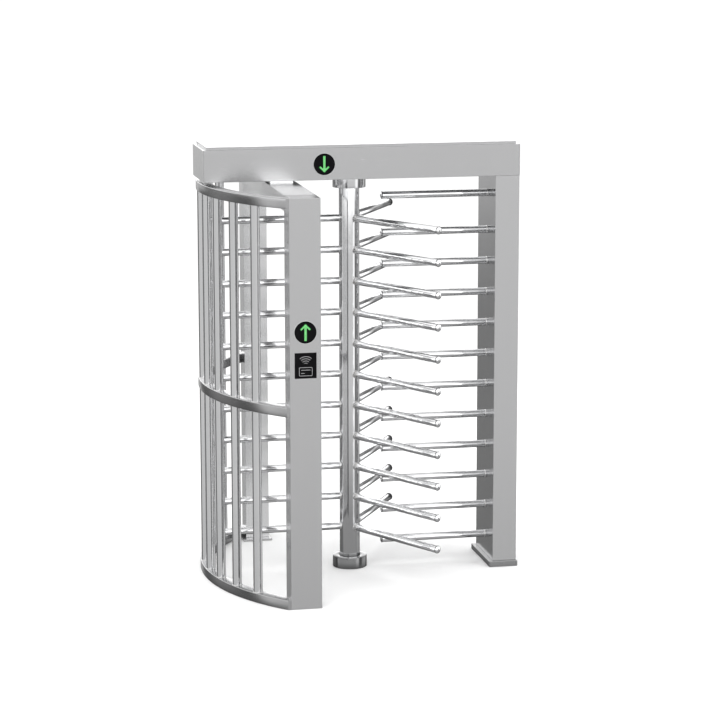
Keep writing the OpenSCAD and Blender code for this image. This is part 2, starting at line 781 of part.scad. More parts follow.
// ---------------------------------------------------------------- indicators and electronics

// Children at each direction light, on the outer face, with +Z of the child pointing out of it
module at_lights() {
    translate([-light_x, -beam_d / 2, clear_h + beam_h / 2]) rotate([90, 0, 0]) children(0);
    translate([-side_x, -side_y, post_light_z]) rotate([90, 0, 0]) children(1);
}

module bezel() ring(light_d / 2, light_d / 2 - bezel_w, bezel_t);

module light_bezels() color("lightgray") at_lights() {
    bezel();
    bezel();
}

// The lamp's cup behind the panel
module lamp_cup() difference() {
    translate([0, 0, -24]) cylinder(r = light_hole_r - set_gap, h = 24);
    translate([0, 0, -22]) cylinder(r = light_hole_r - 4, h = 23);
}

module light_housings() color("dimgray") at_lights() {
    lamp_cup();
    lamp_cup();
}

module lens() cylinder(r = light_d / 2 - bezel_w, h = lens_t - 1);

module light_lenses() color("black") at_lights() {
    lens();
    lens();
}

// An arrow pointing along +Y of its own plane: half length, half widths of the shaft and the head
module arrow() {
    len = 44;
    shaft = 8;
    head = 26;
    neck = 17;
    translate([0, 0, lens_t - 1]) linear_extrude(0.8) polygon([[-shaft, -len], [shaft, -len],
        [shaft, neck], [head, neck - 3], [0, len], [-head, neck - 3], [-shaft, neck]]);
}

module light_arrows() color("limegreen") at_lights() {
    rotate([0, 0, 180]) arrow();
    arrow();
}

// The reader's window stands on the post's face; its module sits in the cut-out behind
module card_reader() color("black") translate([-side_x, -side_y, reader_z]) {
    translate([-reader_w / 2, -reader_t, -reader_h / 2]) cube([reader_w, reader_t, reader_h]);
    translate([-reader_w / 2 + reader_lip + set_gap, 0, -reader_h / 2 + reader_lip + set_gap])
        cube([reader_w - 2 * (reader_lip + set_gap), 26, reader_h - 2 * (reader_lip + set_gap)]);
}

module control_board() color("seagreen") translate([-beam_left + 190, 0, beam_floor]) {
    at_corners(150, 90) cylinder(r = 4, h = 12);
    translate([0, 0, 12]) block(170, 110, 2);
    translate([-30, 10, 14]) block(40, 40, 6);
    translate([50, -20, 14]) block(30, 50, 14);
}

module power_supply() color("lightslategray")
    translate([(beam_right + mech_x) / 2 - 40, 20, beam_floor]) block(160, 98, 42);

module counter_module() color("dimgray") translate([-side_x, 0, beam_floor]) {
    block(60, 90, 30);
    translate([0, 0, 30]) block(44, 22, 4);
}

beam_housing();
beam_end_caps();
beam_lid();
lid_hinge_leaves();
beam_hinge_leaves();
hinge_pins();
wall_post();
wall_post_head_plate();
wall_post_base_plate();
front_post();
rear_post();
side_post_caps();
front_foot_plate();
rear_foot_plate();
cross_arm();
beam_mount_blocks();
beam_bolts();
cage_top_band();
cage_middle_band();
cage_bottom_band();
cage_bars();
comb_bars();
comb_caps();
access_covers();
cover_screws();
floor_bearing_housing();
thrust_bearing();
top_collar();
rotor_column();
column_end_plugs();
wing_a_arms();
wing_b_arms();
wing_c_arms();
arm_caps();
rotor_shaft();
mechanism_plate();
mechanism_bolts();
bearing_housing();
top_bearing();
lock_wheel();
rotor_gear();
sensor_vane();
shaft_collars();
position_sensors();
damper_body();
damper_pinion();
pawl_pins();
entry_pawl();
exit_pawl();
entry_plunger();
exit_plunger();
solenoids();
light_bezels();
light_lenses();
light_arrows();
light_housings();
card_reader();
control_board();
power_supply();
counter_module();
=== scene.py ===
"""Full-height turnstile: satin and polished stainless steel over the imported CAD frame."""
import json
import math

import bmesh
import bpy
from mathutils import Matrix, Vector


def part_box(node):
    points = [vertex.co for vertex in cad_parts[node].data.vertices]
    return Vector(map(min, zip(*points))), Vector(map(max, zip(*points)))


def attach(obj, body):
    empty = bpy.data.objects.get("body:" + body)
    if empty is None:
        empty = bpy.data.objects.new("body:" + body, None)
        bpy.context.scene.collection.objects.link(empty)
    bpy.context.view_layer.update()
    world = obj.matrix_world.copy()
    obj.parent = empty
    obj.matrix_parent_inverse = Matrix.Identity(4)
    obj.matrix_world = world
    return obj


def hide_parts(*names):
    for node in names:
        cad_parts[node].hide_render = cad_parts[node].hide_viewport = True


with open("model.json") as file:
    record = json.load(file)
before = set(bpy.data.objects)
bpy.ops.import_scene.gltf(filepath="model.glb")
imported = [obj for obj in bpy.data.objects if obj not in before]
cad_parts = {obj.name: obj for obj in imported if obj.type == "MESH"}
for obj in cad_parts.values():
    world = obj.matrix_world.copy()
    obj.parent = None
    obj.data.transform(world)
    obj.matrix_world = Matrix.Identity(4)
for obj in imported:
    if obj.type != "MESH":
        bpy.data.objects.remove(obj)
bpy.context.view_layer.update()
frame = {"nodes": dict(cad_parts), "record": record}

MM = 0.001


def low(node):
    return Vector(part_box(node)[0])


def high(node):
    return Vector(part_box(node)[1])


def middle(node):
    return (low(node) + high(node)) / 2


# ---------------------------------------------------------------- driving sizes, from the frame

BAR_R = (high("comb_bars").y - low("comb_bars").y) / 2
COLUMN_R = (high("rotor_column").x - low("rotor_column").x) / 2
REACH = -low("arm_caps").x
CAP_H = 8 * MM
CAP_RIM = 2 * MM
ARM_Z0 = low("wing_a_arms").z + BAR_R
ARM_Z1 = high("wing_a_arms").z - BAR_R
ARMS = 11
ARM_PITCH = (ARM_Z1 - ARM_Z0) / (ARMS - 1)
COMB_TIP = low("comb_caps").x
COMB_TOP_Z = high("comb_bars").z - BAR_R
COMB_Z0 = low("comb_bars").z + BAR_R
POST_FACE_X = low("wall_post").x
SIDE_FACE_X = low("front_post").x
FRONT_Y = low("front_post").y
BEAM_FRONT_Y = low("beam_housing").y
CLEAR_H = low("beam_housing").z

BAND_T = 56 * MM
BAND_END = 23.4 * MM
CAGE_CHORD = -FRONT_Y - BAND_END
CAGE_RISE = SIDE_FACE_X - low("cage_top_band").x - BAND_T / 2
BAR_RING_R = (CAGE_CHORD ** 2 + CAGE_RISE ** 2) / (2 * CAGE_RISE)
CAGE_CX = SIDE_FACE_X - CAGE_RISE + BAR_RING_R
CAGE_R = BAR_RING_R + BAND_T / 2
BAND_H = high("cage_top_band").z - low("cage_top_band").z
CAGE_BAR_R = 24 * MM
CAGE_BARS = 8
CAGE_STEP = 2 * math.asin((-FRONT_Y - BAND_T) / BAR_RING_R) / (CAGE_BARS + 1)
MID_Z = low("cage_middle_band").z
TOP_BAND_Z = low("cage_top_band").z

LIGHT_R = 58 * MM
BEAM_LIGHT = Vector((-0.168, BEAM_FRONT_Y, (CLEAR_H + high("beam_housing").z) / 2))
POST_LIGHT = Vector((middle("front_post").x, FRONT_Y, 1.431))


# ---------------------------------------------------------------- camera, floor and light

LENS = 130.11
SHIFT = (-0.0279, -0.0016)
CAMERA_AT = (-2.6704, -13.3876, 3.6930)
LOOKS_DOWN = 10.61
LOOKS_RIGHT = 11.97
FLOOR_RADIUS = 120
FLOOR_DROP = 0.5 * MM

# Name, place, target, size and power of each soft light
LIGHTS = [("key", (-3.0, -5.0, 7.0), (0, 0, 1), 5.0, 240),
          ("fill", (4.5, -3.0, 5.0), (0, 0, 1), 4.0, 90),
          ("top", (0.5, 1.5, 6.5), (0, 0, 0), 5.0, 150)]


def add_camera():
    data = bpy.data.cameras.new("camera")
    data.lens = LENS
    data.shift_x, data.shift_y = SHIFT
    data.clip_end = 200
    camera = bpy.data.objects.new("camera", data)
    camera.location = CAMERA_AT
    camera.rotation_euler = (math.radians(90 - LOOKS_DOWN), 0, math.radians(-LOOKS_RIGHT))
    bpy.context.scene.collection.objects.link(camera)
    bpy.context.scene.camera = camera


def ramp(nodes, stops):
    """A straight colour ramp of greys, stops given as (place, grey)."""
    node = nodes.new("ShaderNodeValToRGB")
    node.color_ramp.interpolation = "LINEAR"
    elements = node.color_ramp.elements
    while len(elements) > 1:
        elements.remove(elements[-1])
    elements[0].position = stops[0][0]
    elements[0].color = (stops[0][1],) * 3 + (1,)
    for place, grey in stops[1:]:
        elements.new(place).color = (grey,) * 3 + (1,)
    return node


def math_node(nodes, links, operation, *inputs):
    node = nodes.new("ShaderNodeMath")
    node.operation = operation
    for slot, value in zip(node.inputs, inputs):
        if isinstance(value, (int, float)):
            slot.default_value = value
        else:
            links.new(value, slot)
    return node.outputs[0]


def bearing(nodes, links, x, y):
    """0 to 1 round the compass: 0.5 is the camera's side, 0.75 the wall post's side."""
    turn = math_node(nodes, links, "ARCTAN2", x, math_node(nodes, links, "MULTIPLY", y, -1.0))
    return math_node(nodes, links, "MULTIPLY_ADD", turn, 1 / math.tau, 0.5)


def compass(degrees):
    return degrees / 360 + 0.5


# What steel mirrors round the room, as bearing and grey: near the horizon, and steeply below it
ROOM = [(-180, 0.80), (-171, 0.56), (-166, 0.16), (-155, 0.14), (-140, 0.34), (-125, 0.30),
        (-112, 0.14), (-103, 0.16), (-97, 1.00), (-91, 1.00), (-85, 0.80), (30, 0.86), (36, 1.50),
        (50, 1.50), (57, 0.20), (75, 0.20), (84, 0.95), (117, 0.98), (128, 0.15), (138, 0.30),
        (150, 0.28), (159, 0.12), (170, 0.12)]
STEEP = [(-180, 0.12), (-110, 0.16), (-80, 0.36), (60, 0.36), (100, 0.30), (130, 0.08), (172, 0.08)]
DIRECT = 1.25          # what lights the object itself, instead of what it mirrors
GLOW = 0.7
GREY_BAND = 0.55
DARK_BAND = 0.14


def add_world():
    world = bpy.data.worlds.new("studio")
    bpy.context.scene.world = world
    world.use_nodes = True
    nodes, links = world.node_tree.nodes, world.node_tree.links
    nodes.clear()

    def mixed(share, first, second):
        mix = nodes.new("ShaderNodeMixRGB")
        for socket, value in zip(mix.inputs, (share, first, second)):
            if isinstance(value, (int, float)):
                socket.default_value = (value,) * 3 + (1,)
            else:
                links.new(value, socket)
        return mix.outputs[0]

    def looked_up(value, stops):
        table = ramp(nodes, stops)
        links.new(value, table.inputs[0])
        return table.outputs[0]

    def round_room(stops):
        return looked_up(turn, [(compass(angle), grey) for angle, grey in stops])

    split = nodes.new("ShaderNodeSeparateXYZ")
    links.new(nodes.new("ShaderNodeTexCoord").outputs["Generated"], split.inputs[0])
    x, y, z = split.outputs
    turn = bearing(nodes, links, x, y)
    drop = math_node(nodes, links, "MULTIPLY", z, -1.0)
    # below the horizon: the room, then the floor close by
    steep = looked_up(drop, [(0.0, 0.0), (0.23, 0.0), (0.38, 1.0)])
    low_part = mixed(steep, round_room(ROOM), round_room(STEEP))
    glow_up = looked_up(drop, [(0.10, 1.0), (0.15, 0.0)])
    glow_round = round_room([(-176, 1.0), (-158, 1.0), (-150, 0.0)])
    low_part = mixed(math_node(nodes, links, "MULTIPLY", glow_up, glow_round), low_part, GLOW)
    # above it: white, but for a dark band high up behind on the right and a grey one beside it
    band_up = looked_up(z, [(0.27, 0.0), (0.34, 1.0), (0.78, 1.0), (0.88, 0.0)])
    band_round = round_room([(-180, 1.0), (-172, 0.0), (100, 0.0), (118, 1.0)])
    dark_band = math_node(nodes, links, "MULTIPLY", band_up, band_round)
    grey_up = looked_up(z, [(0.38, 1.0), (0.46, 0.0)])
    grey_round = round_room([(108, 0.0), (118, 1.0), (150, 1.0), (160, 0.0)])
    grey_band = math_node(nodes, links, "MULTIPLY", grey_up, grey_round)
    white = looked_up(z, [(0.22, 2.4), (0.32, 1.12)])
    high_part = mixed(dark_band, mixed(grey_band, white, GREY_BAND), DARK_BAND)
    mirrored = mixed(looked_up(z, [(0.01, 0.0), (0.06, 1.0)]), low_part, high_part)
    path = nodes.new("ShaderNodeLightPath")
    shader = nodes.new("ShaderNodeBackground")
    links.new(mixed(path.outputs["Is Glossy Ray"], DIRECT, mirrored), shader.inputs["Color"])
    shader.inputs["Strength"].default_value = 1.0
    links.new(shader.outputs[0], nodes.new("ShaderNodeOutputWorld").inputs[0])


def floor_material():
    """Matt and pale; mirrored rays pass through it to the room below the horizon."""
    mat = bpy.data.materials.new("studio_floor")
    mat.use_nodes = True
    nodes, links = mat.node_tree.nodes, mat.node_tree.links
    nodes.clear()
    matt = nodes.new("ShaderNodeBsdfDiffuse")
    matt.inputs["Color"].default_value = (0.84, 0.84, 0.84, 1)
    choose = nodes.new("ShaderNodeMixShader")
    links.new(nodes.new("ShaderNodeLightPath").outputs["Is Glossy Ray"], choose.inputs[0])
    links.new(matt.outputs[0], choose.inputs[1])
    links.new(nodes.new("ShaderNodeBsdfTransparent").outputs[0], choose.inputs[2])
    links.new(choose.outputs[0], nodes.new("ShaderNodeOutputMaterial").inputs[0])
    return mat


def add_floor():
    bm = bmesh.new()
    bmesh.ops.create_circle(bm, cap_ends=True, radius=FLOOR_RADIUS, segments=96)
    data = bpy.data.meshes.new("floor")
    bm.to_mesh(data)
    floor = bpy.data.objects.new("floor", data)
    floor.location.z = -FLOOR_DROP
    data.materials.append(floor_material())
    bpy.context.scene.collection.objects.link(floor)


def add_light(name, place, target, size, power):
    data = bpy.data.lights.new(name, "AREA")
    data.size = size
    data.energy = power
    light = bpy.data.objects.new(name, data)
    light.location = place
    light.rotation_euler = (Vector(target) - Vector(place)).to_track_quat("-Z", "Y").to_euler()
    light.visible_glossy = False
    bpy.context.scene.collection.objects.link(light)


# ---------------------------------------------------------------- materials

class Finish:
    """A Principled material read on Object coordinates, with helpers for its patterns."""

    def __init__(self, name, colour, metallic=0.0, roughness=0.4):
        self.mat = bpy.data.materials.new(name)
        self.mat.use_nodes = True
        self.nodes, self.links = self.mat.node_tree.nodes, self.mat.node_tree.links
        self.shader = self.nodes["Principled BSDF"]
        self.shader.inputs["Base Color"].default_value = (*colour, 1)
        self.shader.inputs["Metallic"].default_value = metallic
        self.shader.inputs["Roughness"].default_value = roughness
        self.colour = colour
        self.coords = self.nodes.new("ShaderNodeTexCoord").outputs["Object"]

    def noise(self, scale, stretch=(1, 1, 1), detail=4.0, rough=0.6):
        mapping = self.nodes.new("ShaderNodeMapping")
        mapping.inputs["Scale"].default_value = stretch
        self.links.new(self.coords, mapping.inputs["Vector"])
        noise = self.nodes.new("ShaderNodeTexNoise")
        noise.inputs["Scale"].default_value = scale
        noise.inputs["Detail"].default_value = detail
        noise.inputs["Roughness"].default_value = rough
        self.links.new(mapping.outputs[0], noise.inputs["Vector"])
        return noise.outputs["Fac"]

    def span(self, value, lowest, highest, start=0.3, end=0.7):
        node = self.nodes.new("ShaderNodeMapRange")
        node.inputs["From Min"].default_value = start
        node.inputs["From Max"].default_value = end
        node.inputs["To Min"].default_value = lowest
        node.inputs["To Max"].default_value = highest
        self.links.new(value, node.inputs["Value"])
        return node.outputs[0]

    def add(self, a, b):
        return math_node(self.nodes, self.links, "ADD", a, b)

    def rough(self, value):
        self.links.new(value, self.shader.inputs["Roughness"])

    def tint(self, value, other):
        """Base colour runs from this finish's colour to another as value goes 0 to 1."""
        mix = self.nodes.new("ShaderNodeMixRGB")
        mix.inputs[1].default_value = (*self.colour, 1)
        mix.inputs[2].default_value = (*other, 1)
        self.links.new(value, mix.inputs[0])
        self.links.new(mix.outputs[0], self.shader.inputs["Base Color"])

    def bump(self, value, height, strength=1.0):
        node = self.nodes.new("ShaderNodeBump")
        node.inputs["Strength"].default_value = strength
        node.inputs["Distance"].default_value = height
        self.links.new(value, node.inputs["Height"])
        self.links.new(node.outputs[0], self.shader.inputs["Normal"])


def grained_steel(name, grey, rough, along, streak=0.03, grain=0.00002):
    """Stainless steel brushed along one axis ("x", "y" or "z"), with cloudy handling marks."""
    finish = Finish(name, (grey, grey, grey * 1.01), 1.0, rough)
    stretch = {"x": (0.02, 1, 1), "y": (1, 0.02, 1), "z": (1, 1, 0.02)}[along]
    fine = finish.noise(900, stretch, 3.0)
    broad = finish.noise(60, stretch, 3.0)
    cloud = finish.noise(1.6, (1, 1, 1), 3.0)
    finish.rough(finish.add(finish.span(fine, rough - streak, rough + streak),
                            finish.add(finish.span(broad, -streak / 3, streak / 3),
                                       finish.span(cloud, -streak / 2, streak / 2))))
    shade = finish.add(finish.span(broad, 0.0, 0.5), finish.span(cloud, 0.0, 0.5))
    finish.tint(finish.span(shade, 0, 1, 0, 1), (grey * 0.975, grey * 0.978, grey * 0.985))
    finish.bump(fine, grain, 0.2)
    return finish.mat


def polished_steel(name, grey, rough):
    """Bright tube: faint drawing lines, fingerprints that dull it a little."""
    finish = Finish(name, (grey, grey, grey * 1.01), 1.0, rough)
    prints = finish.noise(14, (1, 1, 1), 6.0, 0.7)
    cloud = finish.noise(3, (1, 1, 0.4), 3.0)
    finish.rough(finish.add(finish.span(prints, rough - 0.03, rough + 0.07, 0.45, 0.75),
                            finish.span(cloud, 0.0, 0.03)))
    finish.tint(finish.span(cloud, 0, 1), (grey * 0.95, grey * 0.955, grey * 0.965))
    return finish.mat


def weld_metal():
    finish = Finish("weld_metal", (0.80, 0.80, 0.80), 1.0, 0.30)
    heat = finish.noise(120, (1, 1, 1), 3.0)
    finish.rough(finish.span(heat, 0.22, 0.38))
    finish.tint(finish.span(heat, 0, 1, 0.4, 0.75), (0.66, 0.64, 0.60))
    return finish.mat


def machined(name, colour, rough, metallic=1.0):
    """Turned or milled parts inside: tool marks and a thin film of oil."""
    finish = Finish(name, colour, metallic, rough)
    marks = finish.noise(700, (1, 1, 0.1), 2.0)
    film = finish.noise(25, (1, 1, 1), 4.0)
    finish.rough(finish.add(finish.span(marks, rough - 0.05, rough + 0.08), finish.span(film, -0.03, 0.05)))
    finish.tint(finish.span(film, 0, 1), tuple(c * 0.8 for c in colour))
    finish.bump(marks, 0.00002, 0.5)
    return finish.mat


def zinc():
    finish = Finish("zinc_plate", (0.62, 0.63, 0.62), 1.0, 0.35)
    cells = finish.nodes.new("ShaderNodeTexVoronoi")
    cells.inputs["Scale"].default_value = 70
    finish.links.new(finish.coords, cells.inputs["Vector"])
    finish.rough(finish.span(cells.outputs["Distance"], 0.28, 0.45, 0, 1))
    finish.tint(finish.span(finish.noise(9), 0, 1), (0.50, 0.52, 0.50))
    return finish.mat


def moulded(name, colour, rough):
    """Moulded plastic with a fine spark-eroded texture and dust in the low spots."""
    finish = Finish(name, colour, 0.0, rough)
    grain = finish.noise(1800, (1, 1, 1), 2.0)
    dust = finish.noise(12, (1, 1, 1), 5.0)
    finish.rough(finish.add(finish.span(grain, rough - 0.04, rough + 0.04), finish.span(dust, 0, 0.08)))
    finish.tint(finish.span(dust, 0, 0.5, 0.5, 0.9), tuple(min(1, c + 0.05) for c in colour))
    finish.bump(grain, 0.00004, 0.4)
    return finish.mat


def dark_glass():
    finish = Finish("dark_lens", (0.003, 0.003, 0.0035), 0.0, 0.08)
    smear = finish.noise(20, (1, 1, 0.5), 5.0)
    finish.rough(finish.span(smear, 0.05, 0.16, 0.4, 0.8))
    finish.tint(finish.span(smear, 0, 0.6, 0.4, 0.9), (0.007, 0.007, 0.008))
    finish.shader.inputs["Specular IOR Level"].default_value = 0.05
    return finish.mat


def glowing(name, colour, strength):
    unlit = tuple(c * 0.25 for c in colour)
    finish = Finish(name, unlit, 0.0, 0.35)
    finish.shader.inputs["Emission Color"].default_value = (*colour, 1)
    finish.shader.inputs["Emission Strength"].default_value = strength
    speck = finish.noise(300, (1, 1, 1), 2.0)
    finish.rough(finish.span(speck, 0.25, 0.5))
    finish.tint(finish.span(speck, 0, 1), tuple(c * 0.7 for c in unlit))
    return finish.mat


def circuit_board():
    finish = Finish("circuit_board", (0.02, 0.16, 0.07), 0.0, 0.35)
    tracks = finish.nodes.new("ShaderNodeTexBrick")
    tracks.inputs["Scale"].default_value = 120
    finish.links.new(finish.coords, tracks.inputs["Vector"])
    finish.tint(finish.span(tracks.outputs["Fac"], 0, 1, 0, 1), (0.05, 0.30, 0.14))
    finish.rough(finish.span(finish.noise(60), 0.25, 0.45))
    return finish.mat


STEEL_X = grained_steel("satin_steel_x", 0.51, 0.24, "x")
STEEL_Y = grained_steel("satin_steel_y", 0.56, 0.22, "y")
STEEL_Z = grained_steel("satin_steel_z", 0.56, 0.20, "z")
# Painted light: the arms, comb bars and beam hinge leaves take polished steel made brighter than real (0.95
# against about 0.7), so they read white as if brightly lit; the cage and column keep 0.65
POLISHED_PAINTED_BRIGHT = polished_steel("polished_steel", 0.95, 0.12)
UPRIGHT = polished_steel("upright_tube_steel", 0.65, 0.10)
BAND_STEEL = grained_steel("band_steel", 0.44, 0.20, "z", 0.02)
# Painted light: the same brushed steel made lighter (0.78 against 0.56), standing in for the brighter light
# on the rear post, cross arm and mount blocks
STEEL_PAINTED_LIGHT = grained_steel("steel_painted_light", 0.78, 0.22, "z")
END_STEEL = grained_steel("end_cap_steel", 0.56, 0.22, "y")
# Painted shade: the same brushed steel made darker (0.32 against 0.56), standing in for the shade on the
# wall post's base plate
STEEL_PAINTED_SHADE = grained_steel("steel_painted_shade", 0.32, 0.24, "y")
# Painted shade: the pedestal takes the same polished steel made far darker (0.26 against 0.65 and 0.95)
PEDESTAL_PAINTED_SHADE = polished_steel("pedestal_steel_painted_shade", 0.26, 0.14)
SEAM = moulded("cap_seam", (0.03, 0.03, 0.03), 0.5)
WELD = weld_metal()
MACHINED = machined("machined_steel", (0.58, 0.58, 0.60), 0.30)
BEARING = machined("bearing_steel", (0.72, 0.72, 0.74), 0.16)
GEAR = machined("gear_steel", (0.30, 0.30, 0.31), 0.36)
ZINC = zinc()
BLACK = moulded("black_plastic", (0.025, 0.025, 0.027), 0.48)
RIM = moulded("light_rim", (0.50, 0.52, 0.51), 0.30)
COIL = moulded("coil_wrap", (0.04, 0.035, 0.03), 0.55)
GLASS = dark_glass()
GREEN = glowing("green_light", (0.05, 0.55, 0.09), 0.45)
GREEN_DOT = glowing("green_dot", (0.36, 0.95, 0.38), 0.85)
MARK = moulded("reader_mark", (0.46, 0.46, 0.47), 0.40)
BOARD = circuit_board()


# ---------------------------------------------------------------- mesh helpers

def piece(name, mesh, material, body, replaced=(), smooth=35):
    """A finished piece: its place is in its mesh, it rides on a body and may stand for CAD nodes."""
    if isinstance(mesh, bmesh.types.BMesh):
        bm, mesh = mesh, bpy.data.meshes.new(name)
        bm.to_mesh(mesh)
        bm.free()
    mesh.name = name
    mesh.materials.clear()
    mesh.materials.append(material)
    mesh.polygons.foreach_set("use_smooth", [True] * len(mesh.polygons))
    mesh.polygons.foreach_set("material_index", [0] * len(mesh.polygons))
    mesh.set_sharp_from_angle(angle=math.radians(smooth))
    obj = bpy.data.objects.new(name, mesh)
    bpy.context.scene.collection.objects.link(obj)
    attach(obj, body)
    if replaced:
        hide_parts(*replaced)
    return obj


def turned(profile, segments=48, matrix=Matrix()):
    """A lathe shape about Z from (radius, height) points. Points on the axis close it."""
    bm = bmesh.new()
    rings = []
    for radius, height in profile:
        if radius < ON_AXIS:
            rings.append([bm.verts.new(matrix @ Vector((0, 0, height)))])
            continue
        rings.append([bm.verts.new(matrix @ Vector((radius * math.cos(math.tau * k / segments),
                                                    radius * math.sin(math.tau * k / segments), height)))
                      for k in range(segments)])
    for a, b in zip(rings, rings[1:]):
        for k in range(segments):
            n = (k + 1) % segments
            corners = [a[k % len(a)], a[n % len(a)], b[n % len(b)], b[k % len(b)]]
            corners = list(dict.fromkeys(corners))
            if len(corners) > 2:
                bm.faces.new(corners)
    bmesh.ops.recalc_face_normals(bm, faces=bm.faces)
    return bm


def as_mesh(bm):
    mesh = bpy.data.meshes.new("part")
    bm.to_mesh(mesh)
    bm.free()
    return mesh


def joined(meshes):
    """Several meshes as one bmesh."""
    bm = bmesh.new()
    for mesh in meshes:
        bm.from_mesh(mesh)
    return bm


ALONG_X = Matrix.Rotation(math.pi / 2, 4, "Y")
TOWARDS_VIEWER = Matrix.Rotation(math.pi / 2, 4, "X")
ON_AXIS = 1e-7
SAME_POINT = 0.01 * MM
FLAT = math.radians(0.5)
FOLD = math.radians(40)
SHORTEST_FOLD = 20 * MM


def row_tree():
    """Copies the object's own mesh Count times, moving it by Step and turning it by Turn each time."""
    tree = bpy.data.node_groups.new("row_of_parts", "GeometryNodeTree")
    face = tree.interface
    face.new_socket("Geometry", in_out="INPUT", socket_type="NodeSocketGeometry")
    face.new_socket("Count", in_out="INPUT", socket_type="NodeSocketInt")
    face.new_socket("Step", in_out="INPUT", socket_type="NodeSocketVector")
    face.new_socket("Turn", in_out="INPUT", socket_type="NodeSocketFloat")
    face.new_socket("Pivot", in_out="INPUT", socket_type="NodeSocketVector")
    face.new_socket("Finish", in_out="INPUT", socket_type="NodeSocketMaterial")
    face.new_socket("Geometry", in_out="OUTPUT", socket_type="NodeSocketGeometry")
    nodes, links = tree.nodes, tree.links
    given = nodes.new("NodeGroupInput")
    line = nodes.new("GeometryNodeMeshLine")
    line.mode = "OFFSET"
    copies = nodes.new("GeometryNodeInstanceOnPoints")
    spin = nodes.new("GeometryNodeRotateInstances")
    spin.inputs["Local Space"].default_value = False
    angle = nodes.new("ShaderNodeMath")
    angle.operation = "MULTIPLY"
    about_z = nodes.new("ShaderNodeCombineXYZ")
    real = nodes.new("GeometryNodeRealizeInstances")
    finish = nodes.new("GeometryNodeSetMaterial")
    out = nodes.new("NodeGroupOutput")
    links.new(given.outputs["Count"], line.inputs["Count"])
    links.new(given.outputs["Step"], line.inputs["Offset"])
    links.new(line.outputs[0], copies.inputs["Points"])
    links.new(given.outputs["Geometry"], copies.inputs["Instance"])
    links.new(nodes.new("GeometryNodeInputIndex").outputs[0], angle.inputs[0])
    links.new(given.outputs["Turn"], angle.inputs[1])
    links.new(angle.outputs[0], about_z.inputs["Z"])
    links.new(copies.outputs[0], spin.inputs["Instances"])
    links.new(about_z.outputs[0], spin.inputs["Rotation"])
    links.new(given.outputs["Pivot"], spin.inputs["Pivot Point"])
    links.new(spin.outputs[0], real.inputs[0])
    links.new(real.outputs[0], finish.inputs["Geometry"])
    links.new(given.outputs["Finish"], finish.inputs["Material"])
    links.new(finish.outputs[0], out.inputs[0])
    return tree


ROW = row_tree()


def row(mesh, material, count, step=(0, 0, 0), turn=0.0, pivot=(0, 0, 0)):
    """The mesh repeated by the row tree, as a plain mesh."""
    obj = bpy.data.objects.new("row", mesh)
    bpy.context.scene.collection.objects.link(obj)
    maker = obj.modifiers.new("row", "NODES")
    maker.node_group = ROW
    given = {"Count": count, "Step": step, "Turn": turn, "Pivot": pivot, "Finish": material}
    for item in ROW.interface.items_tree:
        if item.in_out == "INPUT" and item.name in given:
            maker[item.identifier] = given[item.name]
    bpy.context.view_layer.update()
    evaluated = obj.evaluated_get(bpy.context.evaluated_depsgraph_get())
    result = bpy.data.meshes.new_from_object(evaluated)
    obj.modifiers.clear()
    bpy.data.objects.remove(obj)
    return result


def softened(node, width, material):
    """A copy of a CAD node with its long straight edges rounded, as folded or broken edges are."""
    source = frame["nodes"][node]
    bm = bmesh.new()
    bm.from_mesh(source.data)
    bmesh.ops.remove_doubles(bm, verts=bm.verts, dist=SAME_POINT)
    bmesh.ops.dissolve_limit(bm, angle_limit=FLAT, verts=bm.verts, edges=bm.edges)
    folds = [edge for edge in bm.edges if edge.is_manifold
             and edge.calc_length() > SHORTEST_FOLD and edge.calc_face_angle(0) > FOLD]
    bmesh.ops.bevel(bm, geom=folds, offset=width, segments=3, profile=0.5, affect="EDGES",
                    clamp_overlap=True)
    bmesh.ops.remove_doubles(bm, verts=bm.verts, dist=SAME_POINT)
    bmesh.ops.recalc_face_normals(bm, faces=bm.faces)
    body, slot = body_and_slot(node)
    obj = piece(node + "_skin", bm, material, body, (node,))
    flat = obj.modifiers.new("flat_faces", "WEIGHTED_NORMAL")
    flat.weight = 100
    flat.keep_sharp = True
    return obj


SLOTS = {part["node"]: part["material_slot"] for part in frame["record"]["subparts"]}
BODY = {node: body for body, nodes in frame["record"]["behaviour"]["bodies"].items()
        for node in nodes}


def body_and_slot(node):
    return BODY[node], SLOTS[node]


def bead(points, radius, ripple=0.18):
    """A closed weld bead along points, with the overlapping scales that a welder's pulses leave."""
    bm = bmesh.new()
    count, sides = len(points), 8
    scales = count // 3
    centre = sum(points, Vector()) / count
    rings = []
    for k, point in enumerate(points):
        ahead = (points[(k + 1) % count] - points[k - 1]).normalized()
        out = (point - centre).normalized()
        side = ahead.cross(out).normalized()
        out = side.cross(ahead)
        size = radius * (1 + ripple * (0.5 - (k * scales / count) % 1.0))
        rings.append([bm.verts.new(point + size * (math.cos(a) * out + math.sin(a) * side))
                      for a in (math.tau * s / sides for s in range(sides))])
    for k in range(count):
        a, b = rings[k], rings[(k + 1) % count]
        for s in range(sides):
            bm.faces.new((a[s], a[(s + 1) % sides], b[(s + 1) % sides], b[s]))
    bmesh.ops.recalc_face_normals(bm, faces=bm.faces)
    return bm


def circle(radius, matrix, count=60):
    return [matrix @ Vector((radius * math.cos(a), radius * math.sin(a), 0))
            for a in (math.tau * k / count for k in range(count))]


# ---------------------------------------------------------------- tubes

TUBE_EDGE = 0.8 * MM
GROOVE = 0.5 * MM
GROOVE_HALF = 0.3 * MM
GROOVE_REACH = 0.9 * MM
CAP_EDGE = 0.6 * MM
DOME_STEPS = 7
DOME_SHARE = 0.965     # how far the dome reaches towards the cap's rim, before it rounds over
SEAM_R = 2.1 * MM
ARM_BEAD = 1.5 * MM
COMB_BEAD = 1.4 * MM
BEAD_LIFT = 0.4 * MM


